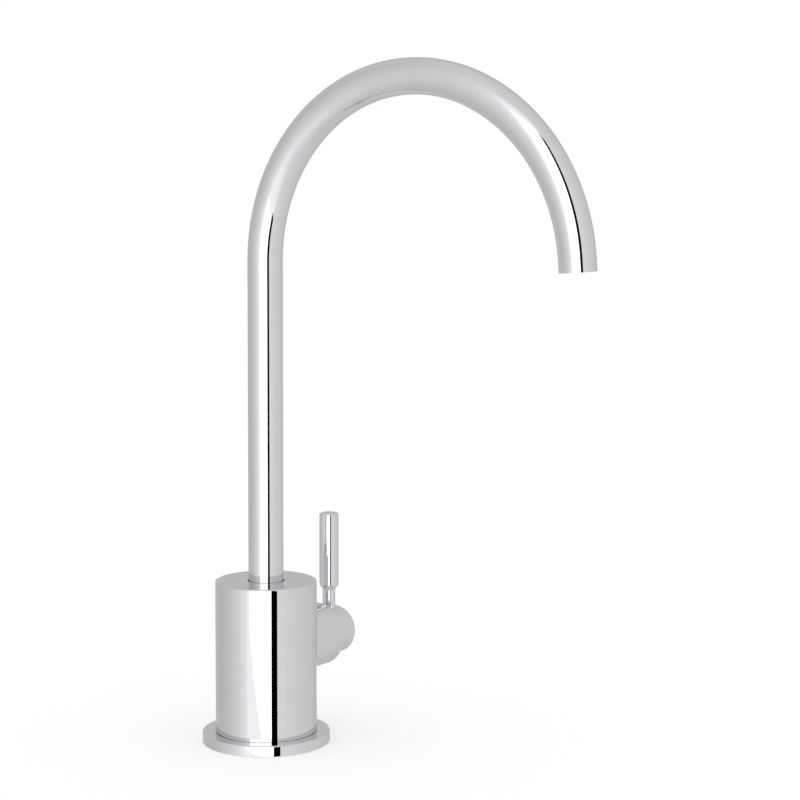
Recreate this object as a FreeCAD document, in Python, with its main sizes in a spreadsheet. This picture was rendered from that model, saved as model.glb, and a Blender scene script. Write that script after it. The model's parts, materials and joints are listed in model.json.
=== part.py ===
import FreeCAD, Part
import Sketcher
import math
import os
import re

# A deck-mounted dispenser tap. Lengths are millimetres and angles are degrees.
# The origin is the centre of the flange's underside, +Z is up, the spout points
# towards -Y and the valve branch, with its lever, points along +X.

SIZES = {
    # flange on the deck
    "flange_lip": 6.0,
    "flange_height": 4.8,
    "flange_edge": 0.4,
    "foot_recess": 0.5,
    "foot_clearance": 0.3,
    "gasket_land": 2.65,
    "gasket_width": 5.0,
    "gasket_height": 1.6,
    "gasket_clearance": 0.1,
    # barrel and branch of the body
    "shell_radius": 23.15,
    "shell_wall": 2.4,
    "shell_roof": 4.0,
    "shell_rim": 0.9,
    "tube_gap": 0.4,
    "branch_height": 38.1,
    "branch_length": 16.55,
    "branch_wall": 2.0,
    "branch_edge": 0.3,
    "bonnet_thread": 0.5,
    "bonnet_depth": 4.0,
    "bonnet_edge": 0.2,
    # valve block and its waterways
    "block_clearance": 0.35,
    "roof_clearance": 0.3,
    "face_depth": 4.4,
    "socket_wall": 1.0,
    "sump_depth": 2.2,
    "inlet_pocket_radius": 7.0,
    "inlet_pocket_depth": 2.0,
    "port_radius": 3.5,
    "seat_wall": 2.0,
    "seat_offset": 1.0,
    "outlet_port_radius": 2.5,
    "outlet_port_offset": 6.5,
    "thread_gap": 0.02,
    # spout foot, from the gland down
    "gland_height": 3.5,
    "gland_slot_width": 3.0,
    "gland_slot_depth": 1.2,
    "bearing_height": 1.0,
    "thrust_height": 1.4,
    "thrust_width": 2.0,
    "bearing_play": 0.1,
    "bearing_clearance": 0.1,
    "ferrule_wall": 2.88,
    "ferrule_lip": 2.0,
    "ferrule_clearance": 0.1,
    "braze_gap": 0.02,
    "groove_low": 1.9,
    "groove_room": 0.21,
    "groove_land": 1.1,
    "groove_high": 1.2,
    "o_ring_section": 0.74,
    "o_ring_gap": 0.03,
    # spout tube
    "tube_radius": 8.0,
    "tube_wall": 1.0,
    "leg_length": 160.6,
    "bend_radius": 81.8,
    "bend_angle": 175.4,
    "end_length": 5.0,
    "straightener_height": 2.0,
    "straightener_recess": 2.5,
    "straightener_clearance": 0.05,
    "jet_radius": 0.9,
    "jet_margin": 1.8,
    # ceramic cartridge
    "valve_thread_radius": 10.478,
    "valve_thread_length": 7.5,
    "thread_step": 0.878,
    "sleeve_gap": 0.4,
    "sleeve_wall": 1.1,
    "sleeve_start": 0.3,
    "window_step": 0.35,
    "window_width": 7.0,
    "disc_clearance": 0.1,
    "disc_height": 2.2,
    "disc_gap": 0.05,
    "disc_hub": 1.8,
    "disc_rim": 1.6,
    "disc_opening_angle": 80.0,
    "seal_width": 3.6,
    "seal_height": 1.6,
    "undercut_room": 0.12,
    "cartridge_ring_section": 0.73,
    "collar_lip": 1.722,
    "collar_height": 3.0,
    "collar_clearance": 0.4,
    "cartridge_neck_wall": 4.95,
    "cartridge_neck_length": 8.0,
    # spindle
    "spindle_radius": 4.0,
    "spindle_clearance": 0.05,
    "spindle_end_gap": 1.0,
    "plate_clearance": 0.4,
    "plate_height": 1.5,
    "plate_room": 0.3,
    "tenon_width": 3.0,
    "tenon_height": 0.9,
    "tenon_gap": 0.05,
    "spindle_groove_start": 5.0,
    "spindle_groove_room": 0.1,
    "spindle_ring_section": 0.45,
    "circlip_lip": 1.6,
    "circlip_height": 0.9,
    "circlip_groove_depth": 0.6,
    "circlip_clearance": 0.1,
    "circlip_gap": 2.4,
    # lever hub, lever and set screw
    "bush_setback": 0.85,
    "bush_flange_height": 0.4,
    "bush_wall": 1.15,
    "bush_gap": 0.05,
    "hub_gap": 0.1,
    "hub_neck_length": 5.7,
    "hub_neck_wall": 2.22,
    "hub_radius": 11.25,
    "hub_length": 14.3,
    "hub_round": 2.5,
    "hub_edge": 0.3,
    "hub_end_wall": 4.5,
    "hub_bore_gap": 0.03,
    "lever_offset": 7.1,
    "stem_radius": 3.05,
    "stem_length": 8.65,
    "stem_seat": 0.6,
    "stem_gap": 0.05,
    "spigot_radius": 2.5,
    "spigot_wall": 0.62,
    "spigot_space": 0.5,
    "grip_cone": 2.2,
    "grip_radius": 4.55,
    "grip_length": 34.5,
    "grip_edge": 1.1,
    "screw_radius": 2.0,
    "screw_recess": 2.25,
    "screw_socket_radius": 1.15,
    "screw_socket_depth": 2.2,
    # tail through the deck and its clamp
    "shank_radius": 10.4775,
    "shank_bore": 6.5,
    "shank_clearance": 0.3,
    "shank_depth": 13.7,
    "shank_edge": 1.0,
    "tail_thread": 10.0,
    "relief_width": 1.5,
    "relief_depth": 0.9,
    "shank_seal_height": 2.0,
    "shank_seal_wall": 3.1,
    "deck_thickness": 30.0,
    "washer_radius": 22.0,
    "rubber_washer_height": 3.0,
    "steel_washer_height": 1.5,
    "nut_flats": 30.0,
    "nut_height": 8.0,
    "nut_bevel": 1.2,
    "nut_clearance": 0.1,
    # how far a cutting tool runs past the face that it cuts
    "overrun": 1.0,
}

# A sketch starts at about this size, and its constraints then move it.
ROUGH_SIZE = 10.0

# Places and fits that follow from the sizes above.
PLACES = {
    # flange, and the body that stands in its recess
    "flange_radius": "shell_radius + flange_lip",
    "flange_bore": "shank_radius + shank_clearance",
    "gasket_outer": "flange_radius - gasket_land",
    "gasket_inner": "gasket_outer - gasket_width",
    "foot": "flange_height - foot_recess",
    "valve_axis": "foot + branch_height",
    "shell_bore": "shell_radius - shell_wall",
    "shell_hole": "tube_radius + tube_gap",
    "shell_height": "block_height + roof_clearance + shell_roof",
    # spout socket, stacked up from the valve chamber, as heights above the foot
    "ferrule_radius": "tube_radius + braze_gap + ferrule_wall",
    "socket_radius": "ferrule_radius + ferrule_clearance",
    "sump_radius": "socket_radius - thrust_width",
    "ferrule_groove": "socket_radius - 2 * (o_ring_section + o_ring_gap)",
    "groove_width": "2 * (o_ring_section + groove_room)",
    "groove_pitch": "groove_width + groove_land",
    "ferrule_height": "groove_low + groove_pitch + groove_width + groove_high",
    "sump_floor": "branch_height + valve_hole + socket_wall",
    "socket_floor": "sump_floor + sump_depth",
    "ferrule_base": "socket_floor + thrust_height + bearing_play",
    "ferrule_top": "ferrule_base + ferrule_height",
    "gland_base": "ferrule_top + bearing_play + bearing_height",
    "block_height": "gland_base + gland_height",
    "block_radius": "shell_bore - block_clearance",
    "block_face": "block_radius - face_depth",
    "shank_hole": "shank_radius + thread_gap",
    "inlet_offset": "seat_offset + seat_wall + port_radius",
    # spout tube
    "tube_bore": "tube_radius - tube_wall",
    "tube_foot": "foot + ferrule_base + ferrule_lip",
    "bend_start": "tube_foot + leg_length",
    "outlet_y": "-bend_radius * (1 - cos(bend_angle))",
    "outlet_z": "bend_start + bend_radius * sin(bend_angle)",
    "straightener_rise": "end_length - straightener_recess - straightener_height",
    "jet_ring_outer": "tube_bore - jet_margin",
    "jet_ring_inner": "jet_ring_outer / 2",
    # cartridge radii, from its thread inwards and outwards
    "valve_hole": "valve_thread_radius + thread_gap",
    "chamber_radius": "valve_thread_radius - thread_step",
    "sleeve_radius": "chamber_radius - sleeve_gap",
    "disc_bore": "sleeve_radius - sleeve_wall",
    "disc_radius": "disc_bore - disc_clearance",
    "disc_opening": "disc_radius - disc_rim",
    "seal_inner": "disc_radius - seal_width",
    "plate_radius": "disc_radius - plate_clearance",
    "undercut_radius": "valve_thread_radius - 2 * (cartridge_ring_section + o_ring_gap)",
    "undercut_width": "2 * (cartridge_ring_section + undercut_room)",
    "collar_radius": "valve_thread_radius + collar_lip",
    "branch_bore": "collar_radius + collar_clearance",
    "branch_radius": "branch_bore + branch_wall",
    "bonnet_radius": "branch_bore + bonnet_thread",
    # cartridge and spindle lengths, from the valve seat outwards
    "moving_disc_rise": "seal_height + disc_height + disc_gap",
    "plate_rise": "moving_disc_rise + disc_height + disc_gap",
    "sleeve_depth": "plate_rise + plate_height + plate_room",
    "window_start": "moving_disc_rise + window_step",
    "block_face_rise": "block_face + seat_offset",
    "thread_start": "block_face_rise - valve_thread_length",
    "cartridge_length": "block_face_rise + collar_height + cartridge_neck_length",
    "circlip_rise": "cartridge_length + circlip_clearance",
    "spindle_bore": "spindle_radius + spindle_clearance",
    "cartridge_neck_radius": "spindle_bore + cartridge_neck_wall",
    "spindle_groove": "spindle_bore - 2 * (spindle_ring_section + o_ring_gap)",
    "spindle_groove_width": "2 * (spindle_ring_section + spindle_groove_room)",
    "circlip_groove": "spindle_radius - circlip_groove_depth",
    "circlip_radius": "spindle_radius + circlip_lip",
    "spindle_length": "hub_base + hub_bore_depth - spindle_end_gap + seat_offset - plate_rise",
    # end of the branch, hub and lever
    "branch_reach": "shell_radius + branch_length",
    "bonnet_base": "branch_reach - bonnet_depth",
    "drum_base": "branch_reach + bush_flange_height + hub_gap",
    "hub_base": "drum_base - hub_neck_length",
    "hub_bore": "spindle_radius + hub_bore_gap",
    "hub_neck_radius": "hub_bore + hub_neck_wall",
    "bush_inner": "hub_neck_radius + bush_gap",
    "bonnet_bore": "bush_inner + bush_wall + bush_gap",
    "bush_flange_radius": "hub_radius - bush_setback",
    "hub_reach": "hub_neck_length + hub_length",
    "hub_bore_depth": "hub_reach - hub_end_wall",
    "lever_rise": "hub_neck_length + lever_offset",
    "lever_x": "drum_base + lever_offset",
    "stem_top": "hub_radius + stem_length",
    "grip_start": "stem_top + grip_cone",
    "grip_top": "grip_start + grip_length",
    "spigot_end": "hub_bore + spigot_wall + spigot_space",
    "screw_length": "hub_radius - screw_recess - spindle_radius",
    # tail and clamp
    "rubber_top": "-deck_thickness",
    "steel_top": "rubber_top - rubber_washer_height",
    "nut_top": "steel_top - steel_washer_height",
    "nut_base": "nut_top - nut_height",
    "nut_corner": "nut_flats / sqrt(3)",
    "relief_start": "shank_edge + tail_thread",
    "relief_end": "relief_start + relief_width",
    "shank_base": "nut_base - relief_end",
    "shank_length": "foot + shank_depth - shank_seal_height - shank_base",
}


def bound(text, home=""):
    """Return the expression with every size and place read from its sheet."""
    def full_name(match):
        name = match.group(0)
        if name in SIZES:
            return "sizes." + name
        if name in PLACES and home != "places":
            return "places." + name
        return name
    return re.sub(r"[a-z_]+", full_name, text)


def make_sheets(doc):
    """Keep the driving dimensions in one sheet and what follows from them in another."""
    sizes = doc.addObject("Spreadsheet::Sheet", "sizes")
    for row, (name, value) in enumerate(SIZES.items(), start=1):
        sizes.set(f"A{row}", name)
        sizes.set(f"B{row}", str(value))
        sizes.setAlias(f"B{row}", name)
    places = doc.addObject("Spreadsheet::Sheet", "places")
    for row, (name, text) in enumerate(PLACES.items(), start=1):
        places.set(f"A{row}", name)
        places.setAlias(f"B{row}", name)
    for row, text in enumerate(PLACES.values(), start=1):
        places.set(f"B{row}", "=" + bound(text, home="places"))
    doc.recompute()


def value(doc, name):
    """Read one size or place as a number."""
    sheet = doc.getObject("sizes" if name in SIZES else "places")
    return float(sheet.get(name))


def bind(thing, **sizes):
    """Tie properties to expressions. Two underscores in a name stand for a dot."""
    for name, text in sizes.items():
        thing.setExpression(name.replace("__", "."), bound(text))


def place(thing, x="0", y="0", z="0"):
    """Seat an upright piece at a point."""
    bind(thing, Placement__Base__x=x, Placement__Base__y=y, Placement__Base__z=z)
    return thing


def turned_about(axis, angle=90):
    """Return a placement that turns about an axis. An expression may then set its angle."""
    return FreeCAD.Placement(FreeCAD.Vector(), FreeCAD.Rotation(axis, angle))


def place_along_x(thing, x, y="0", z="valve_axis"):
    """Seat a piece so that its own +Z lies along +X."""
    thing.Placement = turned_about(FreeCAD.Vector(0, 1, 0))
    return place(thing, x, y, z)


# Sketches

def sketch_on(body, name, role, offset="0"):
    """Start a sketch on one of the body's own origin planes, moved along its normal."""
    plane = next(item for item in body.Origin.OriginFeatures if item.Role == role)
    sketch = body.newObject("Sketcher::SketchObject", name)
    sketch.AttachmentSupport = (plane, [""])
    sketch.MapMode = "FlatFace"
    bind(sketch, AttachmentOffset__Base__z=offset)
    return sketch


def pin_point(sketch, geometry, end, x, y):
    """Hold a point of the sketch at two expressions."""
    now = sketch.getPoint(geometry, end)
    for kind, axis, text, start in (("DistanceX", -2, x, now.x), ("DistanceY", -1, y, now.y)):
        if text == "0":
            sketch.addConstraint(Sketcher.Constraint("PointOnObject", geometry, end, axis))
            continue
        index = sketch.addConstraint(Sketcher.Constraint(kind, -1, 1, geometry, end, start))
        name = f"{kind}_{geometry}"
        sketch.renameConstraint(index, name)
        sketch.setExpression("Constraints." + name, bound(text))


def rough_corner(number, count):
    """Return a place for a corner before its constraints move it."""
    turn = 2 * math.pi * number / count
    return FreeCAD.Vector(math.cos(turn), math.sin(turn), 0) * ROUGH_SIZE


def draw_polygon(sketch, corners):
    """Draw a closed outline through corners that are given as expressions."""
    count = len(corners)
    first = sketch.GeometryCount
    rough = [rough_corner(number, count) for number in range(count + 1)]
    for start, end in zip(rough, rough[1:]):
        sketch.addGeometry(Part.LineSegment(start, end), False)
    for number in range(count):
        following = first + (number + 1) % count
        sketch.addConstraint(Sketcher.Constraint("Coincident", first + number, 2, following, 1))
    for number, (x, y) in enumerate(corners):
        pin_point(sketch, first + number, 1, x, y)


def draw_circle(sketch, radius, x="0", y="0"):
    """Draw a circle with its radius and centre given as expressions."""
    rough = Part.Circle(FreeCAD.Vector(), FreeCAD.Vector(0, 0, 1), ROUGH_SIZE)
    circle = sketch.addGeometry(rough, False)
    index = sketch.addConstraint(Sketcher.Constraint("Radius", circle, ROUGH_SIZE))
    name = f"radius_{circle}"
    sketch.renameConstraint(index, name)
    sketch.setExpression("Constraints." + name, bound(radius))
    if x == "0" and y == "0":
        sketch.addConstraint(Sketcher.Constraint("Coincident", circle, 3, -1, 1))
    else:
        pin_point(sketch, circle, 3, x, y)


def rectangle(width, height, low="0"):
    """Return the corners of a rectangle centred on the sketch's vertical axis."""
    left, right, top = f"-({width}) / 2", f"({width}) / 2", f"{low} + {height}"
    return [(left, low), (right, low), (right, top), (left, top)]


# Features of a body

def start_body(doc, name):
    return doc.addObject("PartDesign::Body", name)


def turn(body, name, corners):
    """Turn an outline of radius and height round the body's Z axis."""
    sketch = sketch_on(body, name + "_outline", "XZ_Plane")
    draw_polygon(sketch, corners)
    turned = body.newObject("PartDesign::Revolution", name)
    turned.Profile = sketch
    turned.ReferenceAxis = (sketch, ["V_Axis"])
    turned.Angle = 360
    body.Document.recompute()
    return turned


def turned_body(doc, name, corners):
    body = start_body(doc, name)
    turn(body, name + "_turning", corners)
    return body


def pad(body, name, sketch, length, reverse=False):
    """Raise a sketch by a length."""
    feature = body.newObject("PartDesign::Pad", name)
    feature.Profile = sketch
    feature.Reversed = reverse
    bind(feature, Length=length)
    body.Document.recompute()
    return feature


def remove(body, feature, sketch, reverse):
    """Finish a cutting feature, and make sure that it took material away."""
    before = body.Shape.Volume
    feature.Profile = sketch
    feature.Reversed = reverse
    body.Document.recompute()
    if not body.Shape.Volume < before:
        raise RuntimeError(f"{feature.Name} cut nothing from {body.Label}")
    return feature


def pocket(body, name, sketch, length="", reverse=False):
    """Cut a sketch into the body, right through where no length is given."""
    feature = body.newObject("PartDesign::Pocket", name)
    if length:
        bind(feature, Length=length)
    else:
        feature.Type = "ThroughAll"
    return remove(body, feature, sketch, reverse)


def groove(body, name, corners):
    """Turn an outline away from the body."""
    sketch = sketch_on(body, name + "_outline", "XZ_Plane")
    draw_polygon(sketch, corners)
    feature = body.newObject("PartDesign::Groove", name)
    feature.ReferenceAxis = (sketch, ["V_Axis"])
    feature.Angle = 360
    return remove(body, feature, sketch, False)


def circles_of(shape, radius, along, at):
    """Name the shape's circular edges of a radius whose centre lies at a distance along an axis."""
    found = []
    for number, edge in enumerate(shape.Edges, start=1):
        if not isinstance(edge.Curve, Part.Circle):
            continue
        near = abs(edge.Curve.Radius - radius) < 1e-4
        if near and abs(edge.Curve.Center.dot(along) - at) < 1e-4:
            found.append(f"Edge{number}")
    return found


def ease_edge(body, kind, size, radius, at, along=FreeCAD.Vector(0, 0, 1)):
    """Round (Fillet) or bevel (Chamfer) a circular edge of the body's last feature."""
    doc = body.Document
    base = body.Tip
    edges = circles_of(base.Shape, value(doc, radius), along, value(doc, at))
    feature = body.newObject("PartDesign::" + kind, f"{body.Name}_{kind.lower()}_{at}")
    feature.Base = (base, edges)
    bind(feature, **{"Radius" if kind == "Fillet" else "Size": size})
    doc.recompute()
    return feature


# Primitives and booleans

def make_cylinder(doc, name, radius, height, angle=""):
    solid = doc.addObject("Part::Cylinder", name)
    bind(solid, Radius=radius, Height=height)
    if angle:
        bind(solid, Angle=angle)
    return solid


def make_box(doc, name, length, width, height):
    """Make a box centred on the Z axis, standing on the XY plane."""
    solid = doc.addObject("Part::Box", name)
    bind(solid, Length=length, Width=width, Height=height)
    return place(solid, f"-({length}) / 2", f"-({width}) / 2")


def make_torus(doc, name, radius, section):
    solid = doc.addObject("Part::Torus", name)
    bind(solid, Radius1=radius, Radius2=section)
    return solid


def cut(doc, name, base, tools):
    """Cut several tools from a base."""
    before = base.Shape.Volume
    tool = tools[0]
    if len(tools) > 1:
        tool = doc.addObject("Part::MultiFuse", name + "_tools")
        tool.Shapes = tools
    result = doc.addObject("Part::Cut", name)
    result.Base = base
    result.Tool = tool
    doc.recompute()
    if not result.Shape.Volume < before:
        raise RuntimeError(f"{name} lost nothing to its tools")
    return result


# Flange, body and valve block

def make_base_flange(doc):
    seat_radius = "shell_radius + foot_clearance"
    groove_inner = "gasket_inner - gasket_clearance"
    groove_outer = "gasket_outer + gasket_clearance"
    return turned_body(doc, "base_flange", [
        ("flange_bore", "0"),
        (groove_inner, "0"),
        (groove_inner, "gasket_height"),
        (groove_outer, "gasket_height"),
        (groove_outer, "0"),
        ("flange_radius", "0"),
        ("flange_radius", "flange_height - flange_edge"),
        ("flange_radius - flange_edge", "flange_height"),
        (seat_radius, "flange_height"),
        (seat_radius, "foot"),
        ("flange_bore", "foot"),
    ])


def ring_outline(inner, outer, height):
    return [(inner, "0"), (outer, "0"), (outer, height), (inner, height)]


def make_flange_gasket(doc):
    return turned_body(doc, "flange_gasket", ring_outline("gasket_inner", "gasket_outer", "gasket_height"))


def make_body_shell(doc):
    """Make the barrel and its branch as one hollow body, open below and at the branch's end."""
    body = start_body(doc, "body_shell")
    turn(body, "barrel", [
        ("0", "0"), ("shell_radius", "0"), ("shell_radius", "shell_height"), ("0", "shell_height"),
    ])
    sketch = sketch_on(body, "branch_circle", "YZ_Plane")
    draw_circle(sketch, "branch_radius", y="branch_height")
    pad(body, "branch", sketch, "branch_reach")
    ease_edge(body, "Fillet", "shell_rim", "shell_radius", "shell_height")
    ease_edge(body, "Chamfer", "branch_edge", "branch_radius", "branch_reach", FreeCAD.Vector(1, 0, 0))
    groove(body, "cavity", [
        ("0", "-overrun"),
        ("shell_bore", "-overrun"),
        ("shell_bore", "shell_height - shell_roof"),
        ("shell_hole", "shell_height - shell_roof"),
        ("shell_hole", "shell_height + overrun"),
        ("0", "shell_height + overrun"),
    ])
    bore = sketch_on(body, "branch_bore_circle", "YZ_Plane")
    draw_circle(bore, "branch_bore", y="branch_height")
    pocket(body, "branch_boring", bore, reverse=True)
    seat = sketch_on(body, "bonnet_seat_circle", "YZ_Plane", "bonnet_base")
    draw_circle(seat, "bonnet_radius", y="branch_height")
    pocket(body, "bonnet_seat", seat, reverse=True)
    return place(body, z="foot")


def make_valve_block(doc):
    """Make the brass core: turned first, then drilled for the valve and its waterways."""
    blank = turned_body(doc, "block_blank", [
        ("0", "shank_depth + inlet_pocket_depth"),
        ("inlet_pocket_radius", "shank_depth + inlet_pocket_depth"),
        ("inlet_pocket_radius", "shank_depth"),
        ("shank_hole", "shank_depth"),
        ("shank_hole", "0"),
        ("block_radius", "0"),
        ("block_radius", "block_height"),
        ("socket_radius", "block_height"),
        ("socket_radius", "socket_floor"),
        ("sump_radius", "socket_floor"),
        ("sump_radius", "sump_floor"),
        ("0", "sump_floor"),
    ])
    chamber = make_cylinder(doc, "chamber", "chamber_radius", "block_face_rise + overrun")
    place_along_x(chamber, "-seat_offset", z="branch_height")
    thread = make_cylinder(doc, "chamber_thread", "valve_hole", "valve_thread_length + overrun")
    place_along_x(thread, "block_face - valve_thread_length", z="branch_height")
    face = make_cylinder(doc, "spot_face", "branch_bore", "block_radius")
    place_along_x(face, "block_face", z="branch_height")
    inlet = make_cylinder(doc, "seat_port", "port_radius", "inlet_offset")
    place_along_x(inlet, "-inlet_offset", z="branch_height")
    rise = make_cylinder(doc, "inlet_passage", "port_radius", "branch_height + port_radius - shank_depth")
    place(rise, x="-inlet_offset", z="shank_depth")
    outlet_length = "sump_floor + overrun - branch_height"
    outlet = make_cylinder(doc, "outlet_passage", "outlet_port_radius", outlet_length)
    place(outlet, x="outlet_port_offset - seat_offset", z="branch_height")
    block = cut(doc, "valve_block", blank, [chamber, thread, face, inlet, rise, outlet])
    return place(block, z="foot")


# Spout

def make_spout_tube(doc):
    """Make the tube from a straight leg, a bend about a level axis and a short straight end."""
    body = start_body(doc, "spout_tube")

    def tube_section(name, height):
        sketch = sketch_on(body, name, "XY_Plane", height)
        draw_circle(sketch, "tube_radius")
        draw_circle(sketch, "tube_bore")
        return sketch

    pad(body, "leg", tube_section("leg_section", "0"), "leg_length")
    section = tube_section("bend_section", "leg_length")
    left = FreeCAD.Vector(-ROUGH_SIZE, -ROUGH_SIZE, 0)
    right = FreeCAD.Vector(ROUGH_SIZE, -ROUGH_SIZE, 0)
    axis = section.addGeometry(Part.LineSegment(left, right), True)
    pin_point(section, axis, 1, "-tube_radius", "-bend_radius")
    section.addConstraint(Sketcher.Constraint("Horizontal", axis))
    length = section.addConstraint(Sketcher.Constraint("DistanceX", axis, 1, axis, 2, ROUGH_SIZE))
    section.renameConstraint(length, "axis_length")
    section.setExpression("Constraints.axis_length", bound("2 * tube_radius"))
    bend = body.newObject("PartDesign::Revolution", "bend")
    bend.Profile = section
    bend.ReferenceAxis = (section, ["Axis0"])
    bind(bend, Angle="bend_angle")
    doc.recompute()
    end = tube_section("end_section", "leg_length + bend_radius * sin(bend_angle)")
    end.AttachmentOffset = turned_about(FreeCAD.Vector(1, 0, 0))
    bind(end, AttachmentOffset__Base__y="outlet_y", AttachmentOffset__Rotation__Angle="bend_angle")
    pad(body, "end", end, "end_length")
    return place(body, z="tube_foot")


def make_spout_ferrule(doc):
    """Make the brass end of the tube, with two grooves for its rings."""
    grooves = []
    for number in range(2):
        low = f"groove_low + {number} * groove_pitch"
        high = f"{low} + groove_width"
        grooves += [("ferrule_radius", low), ("ferrule_groove", low)]
        grooves += [("ferrule_groove", high), ("ferrule_radius", high)]
    ferrule = turned_body(doc, "spout_ferrule", [
        ("tube_bore", "0"),
        ("ferrule_radius", "0"),
        *grooves,
        ("ferrule_radius", "ferrule_height"),
        ("tube_radius + braze_gap", "ferrule_height"),
        ("tube_radius + braze_gap", "ferrule_lip"),
        ("tube_bore", "ferrule_lip"),
    ])
    return place(ferrule, z="foot + ferrule_base")


def make_spout_o_rings(doc):
    """Make the two rings in the ferrule's grooves."""
    rings = []
    for number in range(2):
        ring = make_torus(doc, f"spout_ring_{number + 1}",
                          "socket_radius - o_ring_gap - o_ring_section", "o_ring_section")
        rings.append(place(ring, z=f"groove_low + groove_width / 2 + {number} * groove_pitch"))
    pair = doc.addObject("Part::Compound", "spout_o_rings")
    pair.Links = rings
    return place(pair, z="foot + ferrule_base")


def make_thrust_ring(doc):
    inner = "sump_radius + bearing_clearance"
    outline = ring_outline(inner, "socket_radius - bearing_clearance", "thrust_height")
    return place(turned_body(doc, "thrust_ring", outline), z="foot + socket_floor")


def make_bearing_ring(doc):
    inner = "tube_radius + bearing_clearance"
    outline = ring_outline(inner, "socket_radius - bearing_clearance", "bearing_height")
    return place(turned_body(doc, "bearing_ring", outline), z="foot + gland_base - bearing_height")


def make_spout_gland(doc):
    """Make the ring nut over the ferrule, with a slot across its top for a key."""
    outline = ring_outline("shell_hole", "socket_radius - thread_gap", "gland_height")
    ring = turned_body(doc, "gland_ring", outline)
    slot = make_box(doc, "gland_slot", "3 * socket_radius", "gland_slot_width", "2 * gland_slot_depth")
    bind(slot, Placement__Base__z="gland_height - gland_slot_depth")
    return place(cut(doc, "spout_gland", ring, [slot]), z="foot + gland_base")


def make_flow_straightener(doc):
    """Make the perforated disc inside the outlet: one jet, a ring of six and a ring of twelve."""
    body = start_body(doc, "flow_straightener")
    face = sketch_on(body, "straightener_face", "XY_Plane")
    draw_circle(face, "tube_bore - straightener_clearance")
    pad(body, "straightener_disc", face, "straightener_height")
    middle = sketch_on(body, "middle_jet", "XY_Plane")
    draw_circle(middle, "jet_radius")
    pocket(body, "middle_jet_hole", middle, reverse=True)
    for name, ring, count in (("inner", "jet_ring_inner", 6), ("outer", "jet_ring_outer", 12)):
        sketch = sketch_on(body, name + "_jet", "XY_Plane")
        draw_circle(sketch, "jet_radius", x=ring)
        hole = pocket(body, name + "_jet_hole", sketch, reverse=True)
        pattern = body.newObject("PartDesign::PolarPattern", name + "_jets")
        pattern.Originals = [hole]
        pattern.Axis = (sketch, ["N_Axis"])
        pattern.Angle = 360
        pattern.Occurrences = count
        body.Tip = pattern
        doc.recompute()
    body.Placement = turned_about(FreeCAD.Vector(1, 0, 0))
    bind(body, Placement__Rotation__Angle="bend_angle")
    return place(body, y="outlet_y - straightener_rise * sin(bend_angle)",
                 z="outlet_z + straightener_rise * cos(bend_angle)")


# Ceramic cartridge, seated along the branch

def make_cartridge_body(doc):
    """Make the housing: a sleeve with two windows, a thread, a collar and a neck for the spindle."""
    blank = turned_body(doc, "cartridge_blank", [
        ("disc_bore", "sleeve_start"),
        ("sleeve_radius", "sleeve_start"),
        ("sleeve_radius", "thread_start"),
        ("valve_thread_radius", "thread_start"),
        ("valve_thread_radius", "block_face_rise - undercut_width"),
        ("undercut_radius", "block_face_rise - undercut_width"),
        ("undercut_radius", "block_face_rise"),
        ("collar_radius", "block_face_rise"),
        ("collar_radius", "block_face_rise + collar_height"),
        ("cartridge_neck_radius", "block_face_rise + collar_height"),
        ("cartridge_neck_radius", "cartridge_length"),
        ("spindle_bore", "cartridge_length"),
        ("spindle_bore", "sleeve_depth"),
        ("disc_bore", "sleeve_depth"),
    ])
    window_length = "sleeve_depth - window_start"
    window = make_box(doc, "side_windows", "3 * chamber_radius", "window_width", window_length)
    bind(window, Placement__Base__z="window_start")
    return place_along_x(cut(doc, "cartridge_body", blank, [window]), "-seat_offset")


def make_cartridge_o_ring(doc):
    ring = make_torus(doc, "cartridge_o_ring",
                      "valve_thread_radius - o_ring_gap - cartridge_ring_section", "cartridge_ring_section")
    return place_along_x(ring, "block_face - undercut_width / 2")


def make_seat_seal(doc):
    ring = turned_body(doc, "seat_seal", ring_outline("seal_inner", "disc_radius", "seal_height"))
    return place_along_x(ring, "-seat_offset")


def make_openings(doc, name, height, first_angle):
    """Make the two sectors that are cut from a disc, as solids that stand on the XY plane."""
    sectors = []
    for number in range(2):
        label = f"{name}_sector_{number + 1}"
        sector = make_cylinder(doc, label, "disc_opening", height, "disc_opening_angle")
        sector.Placement = turned_about(FreeCAD.Vector(0, 0, 1))
        middle_angle = first_angle + 180 * number
        bind(sector, Placement__Rotation__Angle=f"{middle_angle} - disc_opening_angle / 2")
        sectors.append(sector)
    both = doc.addObject("Part::MultiFuse", name + "_sectors")
    both.Shapes = sectors
    middle = make_cylinder(doc, name + "_middle", "disc_hub", height)
    doc.recompute()
    return cut(doc, name + "_openings", both, [middle])


def make_fixed_disc(doc):
    blank = make_cylinder(doc, "fixed_blank", "disc_radius", "disc_height")
    openings = make_openings(doc, "fixed", "disc_height", 90)
    disc = cut(doc, "fixed_ceramic_disc", blank, [openings])
    return place_along_x(disc, "seal_height - seat_offset")


def make_moving_disc(doc):
    """Make the disc that the spindle turns. Its openings lie a quarter turn from the fixed ones."""
    blank = make_cylinder(doc, "moving_blank", "disc_radius", "disc_height")
    openings = make_openings(doc, "moving", "disc_height", 180)
    slot = make_box(doc, "drive_slot", "tenon_width + 2 * tenon_gap", "3 * disc_radius", "2 * tenon_height")
    bind(slot, Placement__Base__z="disc_height - tenon_height - tenon_gap")
    disc = cut(doc, "moving_ceramic_disc", blank, [openings, slot])
    return place_along_x(disc, "moving_disc_rise - seat_offset")


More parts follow.
